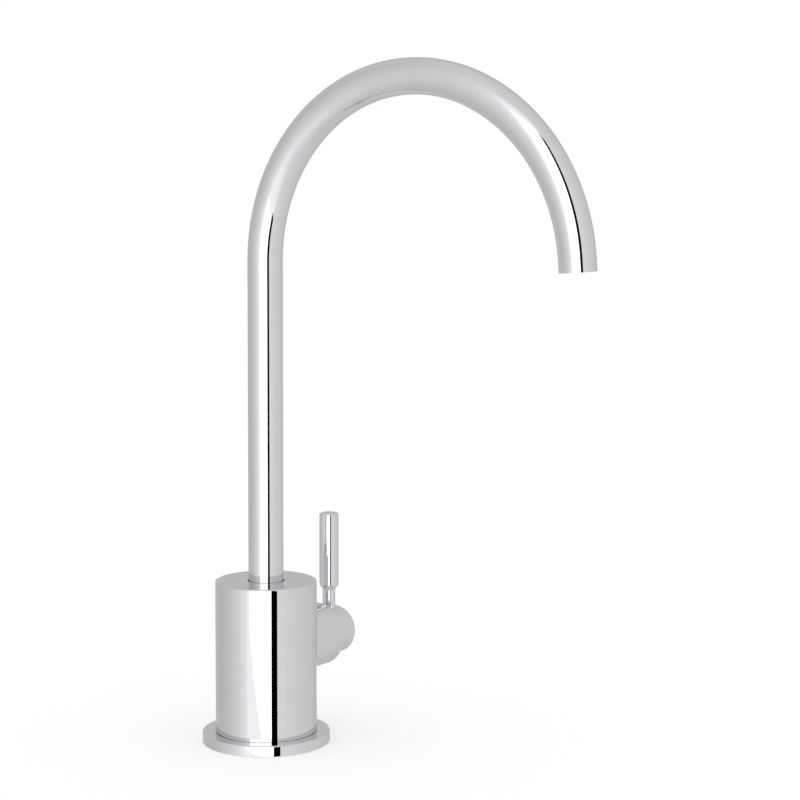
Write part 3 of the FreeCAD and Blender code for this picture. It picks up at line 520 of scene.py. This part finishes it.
def ridge_share(tree, given, row, along):
    """Return how much of the ridge stands: 1 on its crest, 0 at its root and in the groove."""
    turns = add_node(tree, "ShaderNodeMath", {0: row, 1: ROWS_PER_TURN}, operation="DIVIDE")
    from_crest = add_node(tree, "ShaderNodeMath", {0: turns, 1: 0.5}, operation="PINGPONG")
    ridge = add_node(tree, "ShaderNodeMapRange", {"Value": from_crest, **FLANK})
    beyond = add_node(tree, "ShaderNodeMath", {0: along, 1: given["Groove Middle"]}, operation="SUBTRACT")
    from_groove = add_node(tree, "ShaderNodeMath", {0: beyond}, operation="ABSOLUTE")
    half_width = given["Groove Half Width"]
    run_out = add_node(tree, "ShaderNodeMath", {0: half_width, 1: given["Run Out"]}, operation="ADD")
    kept = add_node(tree, "ShaderNodeMapRange",
                    {"Value": from_groove, "From Min": half_width, "From Max": run_out})
    return add_node(tree, "ShaderNodeMath", {0: ridge, 1: kept}, operation="MULTIPLY")


def thread_radius(tree, given, row, along):
    """Return the radius at a row and a height: root plus ridge, cut by the chamfer at each end."""
    root = add_node(tree, "ShaderNodeMath", {0: given["Radius"], 1: given["Depth"]}, operation="SUBTRACT")
    ridge = ridge_share(tree, given, row, along)
    threaded = add_node(tree, "ShaderNodeMath", {0: ridge, 1: given["Depth"], 2: root},
                        operation="MULTIPLY_ADD")
    from_top = add_node(tree, "ShaderNodeMath", {0: given["Length"], 1: along}, operation="SUBTRACT")
    from_end = add_node(tree, "ShaderNodeMath", {0: along, 1: from_top}, operation="MINIMUM")
    face = add_node(tree, "ShaderNodeMath", {0: root, 1: given["Chamfer Below Root"]},
                    operation="SUBTRACT")
    chamfer = add_node(tree, "ShaderNodeMath", {0: face, 1: from_end}, operation="ADD")
    return add_node(tree, "ShaderNodeMath", {0: threaded, 1: chamfer}, operation="MINIMUM")


print("a thread of", round(TAIL_SIZES["Length"] / TAIL_SIZES["Pitch"]), "turns")

# %% [markdown]
# ## The threaded tail
# The grid's rows follow the helix, eight to a turn. A cut across a helix is never level,
# so the rows begin a turn below the foot and end a turn above the top, and what is past
# either end is pressed flat onto it. The last three rows cross the top, go back down the
# bore, and cross the foot to where they began.

# %% Threaded tail
TAIL_COLUMNS = 72
CLOSING_ROWS = 3


def tail_place(tree, given, turn, row, rows):
    """Return where each point of the tail's grid goes, whose helix ends at row number rows."""
    turns = add_node(tree, "ShaderNodeMath", {0: row, 1: 1 / ROWS_PER_TURN, 2: turn},
                     operation="MULTIPLY_ADD")
    turns_up = add_node(tree, "ShaderNodeMath", {0: turns, 1: 1.0}, operation="SUBTRACT")
    climb = add_node(tree, "ShaderNodeMath", {0: turns_up, 1: given["Pitch"]}, operation="MULTIPLY")
    pressed = add_node(tree, "ShaderNodeClamp", {"Value": climb, "Min": 0.0, "Max": given["Length"]})
    bore_middle = add_node(tree, "ShaderNodeMath", {0: rows, 1: CLOSING_ROWS / 2}, operation="ADD")
    rising = add_node(tree, "ShaderNodeMath", {0: row, 1: bore_middle}, operation="LESS_THAN")
    along = add_node(tree, "ShaderNodeMath", {0: pressed, 1: rising}, operation="MULTIPLY")
    outside = thread_radius(tree, given, row, along)
    # Only the two rows nearest to bore_middle lie in the bore.
    in_bore = add_node(tree, "ShaderNodeMath", {0: row, 1: bore_middle, 2: 1.0}, operation="COMPARE")
    radius = add_node(tree, "ShaderNodeMix", {"Factor": in_bore, "A": outside, "B": given["Bore"]})
    height = add_node(tree, "ShaderNodeMath", {0: given["Base"], 1: along}, operation="ADD")
    return roll_up(tree, radius, height, turn)


def tail_tree():
    tree, given = new_node_tree("threaded_tail", TAIL_SIZES)
    turns = add_node(tree, "ShaderNodeMath", {0: given["Length"], 1: given["Pitch"]}, operation="DIVIDE")
    needed = add_node(tree, "ShaderNodeMath", {0: turns, 1: ROWS_PER_TURN, 2: ROWS_PER_TURN},
                      operation="MULTIPLY_ADD")
    rows = add_node(tree, "ShaderNodeMath", {0: needed}, operation="CEIL")
    last_row = add_node(tree, "ShaderNodeMath", {0: rows, 1: CLOSING_ROWS}, operation="ADD")
    grid, turn, row = numbered_grid(tree, last_row, TAIL_COLUMNS)
    end_tree(tree, grid, tail_place(tree, given, turn, row, rows), brass)
    return tree


tail = grow("threaded_tail", tail_tree(), TAIL_SIZES)
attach(tail, "tap_body")
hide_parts("mounting_shank")
print("cut the thread:", len(tail.data.polygons), "faces")

# %% [markdown]
# ## The camera
# The photograph was taken from the user's left, a little above the spout's middle. The
# camera could be placed by eye, but its place and its lens were found by fitting known
# points of the tap, such as the ellipses of flange and body, so the picture has the
# photograph's perspective. It looks down by six degrees, which keeps the whole spout in
# view from every side. Its two level directions, ahead and to the right, also place
# everything in the studio. The Standard view shows each colour as it is written.

# %% Camera
CAMERA_PLACE = Vector((-777.8, -629.4, 280.3)) * MM
CAMERA_YAW = math.radians(34.46)
CAMERA_PITCH = math.radians(5.98)
CAMERA_ROLL = math.radians(0.31)
CAMERA_LENS = 99.9
CAMERA_SHIFT = (-0.05, -0.05)
CAMERA_NEAR = 10 * MM
AHEAD = Vector((math.cos(CAMERA_YAW), math.sin(CAMERA_YAW), 0))
RIGHT = Vector((math.sin(CAMERA_YAW), -math.cos(CAMERA_YAW), 0))
UP = Vector((0, 0, 1))


def make_camera():
    camera = bpy.data.objects.new("studio_camera", bpy.data.cameras.new("studio_camera"))
    bpy.context.scene.collection.objects.link(camera)
    sight = AHEAD * math.cos(CAMERA_PITCH) - UP * math.sin(CAMERA_PITCH)
    across = Matrix.Rotation(-CAMERA_ROLL, 3, sight) @ RIGHT
    turn = Matrix((across, across.cross(sight), -sight)).transposed()
    camera.matrix_world = Matrix.Translation(CAMERA_PLACE) @ turn.to_4x4()
    camera.data.lens = CAMERA_LENS
    camera.data.shift_x, camera.data.shift_y = CAMERA_SHIFT
    camera.data.clip_start = CAMERA_NEAR
    return camera


bpy.context.scene.camera = make_camera()
bpy.context.scene.view_settings.view_transform = "Standard"
print("camera at", [round(v, 3) for v in CAMERA_PLACE])

# %% [markdown]
# ## The floor
# A sheet of white paper, larger than anything that a camera could see past, so it needs
# no curve up at the back. It lies a hair below the flange, so the two never share a
# plane, and is dull, so it keeps the tap's soft shadow. The tap's tail goes down through
# it as through a worktop. Light Path's Is Camera Ray adds the last bit that makes the
# clear floor as white as the background. Reflections skip the floor, as if the tap stood
# on a narrow stand in a tent whose pale walls go on below it.

# %% Floor
FLOOR_SIZE = 12.0
FLOOR_DROP = 0.15 * MM
FLOOR_WHITE = "#C8C8C8"
FLOOR_LIFT = 0.43


def rectangle(left, right, bottom, top):
    return [(left, bottom), (right, bottom), (right, top), (left, top)]


def make_sheet(name, corners, material):
    """Return a flat sheet with these corners, facing +Z, as a part of the studio."""
    mesh = bpy.data.meshes.new(name)
    mesh.from_pydata([(across, along, 0) for across, along in corners], [], [range(len(corners))])
    mesh.materials.append(material)
    sheet = bpy.data.objects.new(name, mesh)
    bpy.context.scene.collection.objects.link(sheet)
    return sheet


def make_paper():
    material, tree = empty_material("white_paper_sweep")
    paper = add_node(tree, "ShaderNodeBsdfDiffuse", {"Color": linear(FLOOR_WHITE)})
    seen = add_node(tree, "ShaderNodeLightPath").outputs["Is Camera Ray"]
    lift = add_node(tree, "ShaderNodeMath", {0: seen, 1: FLOOR_LIFT}, operation="MULTIPLY")
    glow = add_node(tree, "ShaderNodeEmission", {"Strength": lift})
    both = add_node(tree, "ShaderNodeAddShader", {0: paper, 1: glow})
    add_node(tree, "ShaderNodeOutputMaterial", {"Surface": both})
    return material


reach = FLOOR_SIZE / 2
floor = make_sheet("floor", rectangle(-reach, reach, -reach, reach), make_paper())
floor.location.z = -FLOOR_DROP
floor.visible_glossy = False
print("floor laid,", FLOOR_SIZE, "m wide")

# %% [markdown]
# ## The tent
# Chrome shows its room, so the room is drawn with care. The world is a tent of pale cloth.
# Going round from the camera, its walls are brightest beside the soft box and dimmer
# behind the tap. A picture of a room could give that, but one colour ramp over the angle
# is enough and stays easy to change: its stops are an angle in degrees, clockwise from
# the camera's own place, and the wall's tone there. A tone is a strength of light, of
# which 1 is white. Straight up and straight down the tent is one even tone. Rays from the
# camera see plain white, and rays that light dull surfaces get an even light of one,
# under which a colour renders as it is written. Only reflections see the tones.

# %% Tent
WALL_TONES = [(-180, 0.65), (-150, 0.68), (-120, 0.60), (-100, 0.63), (-85, 0.68), (-70, 0.76),
              (-58, 0.84), (-48, 0.94), (-38, 1.0), (28, 0.85), (45, 0.86), (60, 0.80),
              (90, 0.75), (120, 0.71), (150, 0.66), (180, 0.65)]
ROOF_TONE = 0.77
GROUND_TONE = 0.69
LEVEL_BLUR = 0.2
PLAIN_WHITE = linear("#FFFFFF")


def wall_ramp(tree, place):
    """Return the wall's tone at a place, which goes from 0 to 1 on the way round."""
    ramp = add_node(tree, "ShaderNodeValToRGB", {"Fac": place})
    elements = ramp.color_ramp.elements
    while len(elements) < len(WALL_TONES):
        elements.new(1.0)
    for element, (angle, tone) in zip(elements, WALL_TONES):
        element.position = (angle + 180) / 360
        element.color = (tone, tone, tone, 1.0)
    return ramp


def tent_tone(tree):
    """Return the tent's tone in each direction, as a reflection sees it."""
    direction = add_node(tree, "ShaderNodeTexCoord").outputs["Generated"]
    to_camera = (0, 0, -math.pi - CAMERA_YAW)
    turned = add_node(tree, "ShaderNodeMapping", {"Vector": direction, "Rotation": to_camera})
    axes = add_node(tree, "ShaderNodeSeparateXYZ", {"Vector": turned}).outputs
    angle = add_node(tree, "ShaderNodeMath", {0: axes["Y"], 1: axes["X"]}, operation="ARCTAN2")
    place = add_node(tree, "ShaderNodeMapRange",
                     {"Value": angle, "From Min": -math.pi, "From Max": math.pi})
    flat = add_node(tree, "ShaderNodeCombineXYZ", {"X": axes["X"], "Y": axes["Y"]})
    level = add_node(tree, "ShaderNodeVectorMath", {0: flat}, operation="LENGTH")
    wall_share = add_node(tree, "ShaderNodeMapRange", {"Value": level}, interpolation_type="SMOOTHSTEP")
    ends = {"From Min": -LEVEL_BLUR, "From Max": LEVEL_BLUR, "To Min": GROUND_TONE, "To Max": ROOF_TONE}
    end = add_node(tree, "ShaderNodeMapRange", {"Value": axes["Z"], **ends})
    wall = wall_ramp(tree, place)
    return add_node(tree, "ShaderNodeMix", {"Factor": wall_share, "A": end, "B": wall})


def make_tent():
    world = bpy.data.worlds.new("pale_tent")
    bpy.context.scene.world = world
    world.use_nodes = True
    tree = world.node_tree
    tree.nodes.clear()
    mirrored = add_node(tree, "ShaderNodeBackground", {"Color": PLAIN_WHITE, "Strength": tent_tone(tree)})
    plain = add_node(tree, "ShaderNodeBackground", {"Color": PLAIN_WHITE})
    glossy = add_node(tree, "ShaderNodeLightPath").outputs["Is Glossy Ray"]
    seen = add_node(tree, "ShaderNodeMixShader", {0: glossy, 1: plain, 2: mirrored})
    add_node(tree, "ShaderNodeOutputWorld", {"Surface": seen})


make_tent()
print("tent put up with", len(WALL_TONES), "wall tones")

# %% [markdown]
# ## Sheets that only reflections see
# Three kinds of sheet stand in the tent and draw the tap: soft boxes, flags and a card.
# Lamps could give white stripes too, but they would also light the floor, and no lamp
# gives a black line. A sheet that only reflections see draws both on the metal, and
# leaves the light on everything else alone.

# %% Sheets for reflections
def stand_sheet(name, corners, turn, distance, material):
    """Stand a sheet in the tent, upright, this far from the tap and turned right from the camera.

    Its corners are (right, height) in metres, seen from the tap's axis on the deck.
    """
    angle = math.radians(turn)
    towards = RIGHT * math.sin(angle) - AHEAD * math.cos(angle)
    aside = RIGHT * math.cos(angle) + AHEAD * math.sin(angle)
    axes = Matrix((aside, UP, aside.cross(UP))).transposed()
    sheet = make_sheet(name, corners, material)
    sheet.matrix_world = Matrix.Translation(towards * distance) @ axes.to_4x4()
    sheet.visible_camera = False
    sheet.visible_diffuse = False
    sheet.visible_transmission = False
    sheet.visible_volume_scatter = False
    sheet.visible_shadow = False


print("ready to stand sheets")

# %% [markdown]
# ## The soft boxes
# A large soft box round the lens gives the broad white stripe. Its upper and lower edges
# run askew, and the lower one is the slanted line on the body's foot. Past its edges its
# light spills onto the tent and fades. One even glow would be simpler, but the tap shows
# that spill as a soft grey on both sides of the stripe. A small box behind the tap gives
# a stripe to anyone who walks round it. Each edge has its level in metres, its slope, and
# the reach of the light that spills past it.

# %% Soft boxes
FRONT_BRIGHTNESS = 1.9
REAR_BRIGHTNESS = 1.15
SPILL_BRIGHTNESS = 1.14
FRONT_DISTANCE = 2.0
REAR_DISTANCE = 2.4
EDGE_BLUR = 0.004

Edge = namedtuple("Edge", "level slope reach")
FRONT_EDGES = {
    "bottom": Edge(level=-0.557, slope=-0.0616, reach=1.3),
    "top": Edge(level=3.03, slope=0.40, reach=2.4),
    "left": Edge(level=-1.30, slope=0.0, reach=0.75),
    "right": Edge(level=0.70, slope=0.0, reach=0.75),
}
FRONT_SHEET = rectangle(left=-2.2, right=0.9, bottom=-2.0, top=6.0)
REAR_EDGES = {
    "bottom": Edge(level=-0.60, slope=0.0, reach=0.02),
    "top": Edge(level=0.32, slope=0.0, reach=0.02),
    "left": Edge(level=-0.42, slope=0.0, reach=0.02),
    "right": Edge(level=0.42, slope=0.0, reach=0.02),
}
REAR_SHEET = rectangle(left=-0.45, right=0.45, bottom=-0.65, top=0.35)


def past_edge(tree, along, across, edge, side):
    """Return how far a point is past one edge of a box, as a share of how far its light spills.

    The edge lies at across = level + slope * along, and side is 1 for an upper or right edge.
    """
    line = add_node(tree, "ShaderNodeMath", {0: along, 1: edge.slope, 2: edge.level},
                    operation="MULTIPLY_ADD")
    beyond = add_node(tree, "ShaderNodeMath", {0: across, 1: line}, operation="SUBTRACT")
    return add_node(tree, "ShaderNodeMapRange", {"Value": beyond, "From Max": side * edge.reach})


def past_box(tree, edges):
    """Return how far a point is past a box's outline, as a share of how far its light spills."""
    place = add_node(tree, "ShaderNodeTexCoord").outputs["Object"]
    axes = add_node(tree, "ShaderNodeSeparateXYZ", {"Vector": place}).outputs
    across, height = axes["X"], axes["Y"]
    below = past_edge(tree, across, height, edges["bottom"], -1)
    above = past_edge(tree, across, height, edges["top"], 1)
    leftward = past_edge(tree, height, across, edges["left"], -1)
    rightward = past_edge(tree, height, across, edges["right"], 1)
    upright = add_node(tree, "ShaderNodeMath", {0: below, 1: above}, operation="ADD")
    level = add_node(tree, "ShaderNodeMath", {0: leftward, 1: rightward}, operation="ADD")
    both = add_node(tree, "ShaderNodeCombineXYZ", {"X": level, "Y": upright})
    return add_node(tree, "ShaderNodeVectorMath", {0: both}, operation="LENGTH")


def box_material(name, brightness, edges):
    """Return cloth that is bright inside four edges and fades out past them."""
    material, tree = empty_material(name)
    past = past_box(tree, edges)
    fade = add_node(tree, "ShaderNodeMapRange", {"Value": past, "To Min": 1.0, "To Max": 0.0},
                    interpolation_type="SMOOTHSTEP")
    drop = {"From Max": EDGE_BLUR, "To Min": brightness, "To Max": SPILL_BRIGHTNESS}
    strength = add_node(tree, "ShaderNodeMapRange", {"Value": past, **drop})
    glow = add_node(tree, "ShaderNodeEmission", {"Strength": strength})
    clear = add_node(tree, "ShaderNodeBsdfTransparent")
    cloth = add_node(tree, "ShaderNodeMixShader", {0: fade, 1: clear, 2: glow})
    add_node(tree, "ShaderNodeOutputMaterial", {"Surface": cloth})
    return material


front_cloth = box_material("front_soft_box", FRONT_BRIGHTNESS, FRONT_EDGES)
stand_sheet("front_soft_box", FRONT_SHEET, 0.0, FRONT_DISTANCE, front_cloth)
rear_cloth = box_material("rear_soft_box", REAR_BRIGHTNESS, REAR_EDGES)
stand_sheet("rear_soft_box", REAR_SHEET, 180.0, REAR_DISTANCE, rear_cloth)
print("soft boxes hung")

# %% [markdown]
# ## The flags and the small glowing card
# A flag is a black cloth, two centimetres before its box. One hangs along the soft box's
# right edge and gives the thin black line, which makes metal look hard and bright, and
# the box behind has one too. The card is smaller than a stamp, stands close before the
# flange, and glows as brightly as the soft box. Only reflections see it, so it is a
# painted highlight: it keeps the flange's rim white, down to the curved corner where the
# card ends, where the soft box alone would leave part of that rim grey.

# %% Flags and card
FLAG_BLACK = "#020202"
FLAG_GAP = 0.02
FRONT_FLAG = rectangle(left=0.565, right=1.11, bottom=-0.78, top=3.3)
REAR_FLAG = rectangle(left=0.42, right=0.56, bottom=-0.60, top=0.32)
# The card glows in this colour as brightly as the front soft box, a painted highlight on the flange's
# rim.
CARD_GLOW_COLOUR = "#FFFFFF"
CARD_DISTANCE = 40 * MM
CARD_OUTLINE_MM = [(-14.8, 0.8), (-14.8, -0.2), (-10.8, -1.5), (-8.5, -1.9), (1.2, -3.0),
                   (9.0, -3.2), (9.0, 1.4), (1.2, 1.7), (-5.2, 1.6)]


def plain_glow(name, hex_code, strength):
    """Return a material that sends out one even tone."""
    material, tree = empty_material(name)
    glow = add_node(tree, "ShaderNodeEmission", {"Color": linear(hex_code), "Strength": strength})
    add_node(tree, "ShaderNodeOutputMaterial", {"Surface": glow})
    return material


black_cloth = plain_glow("black_cloth", FLAG_BLACK, 1.0)
# A glowing card, seen only in reflections, that paints a highlight on the flange's rim.
highlight_card = plain_glow("highlight_card", CARD_GLOW_COLOUR, FRONT_BRIGHTNESS)
card_outline = [(across * MM, height * MM) for across, height in CARD_OUTLINE_MM]
stand_sheet("front_flag", FRONT_FLAG, 0.0, FRONT_DISTANCE - FLAG_GAP, black_cloth)
stand_sheet("rear_flag", REAR_FLAG, 180.0, REAR_DISTANCE - FLAG_GAP, black_cloth)
stand_sheet("highlight_card", card_outline, 0.0, CARD_DISTANCE, highlight_card)
print("flags hung and card stood up")
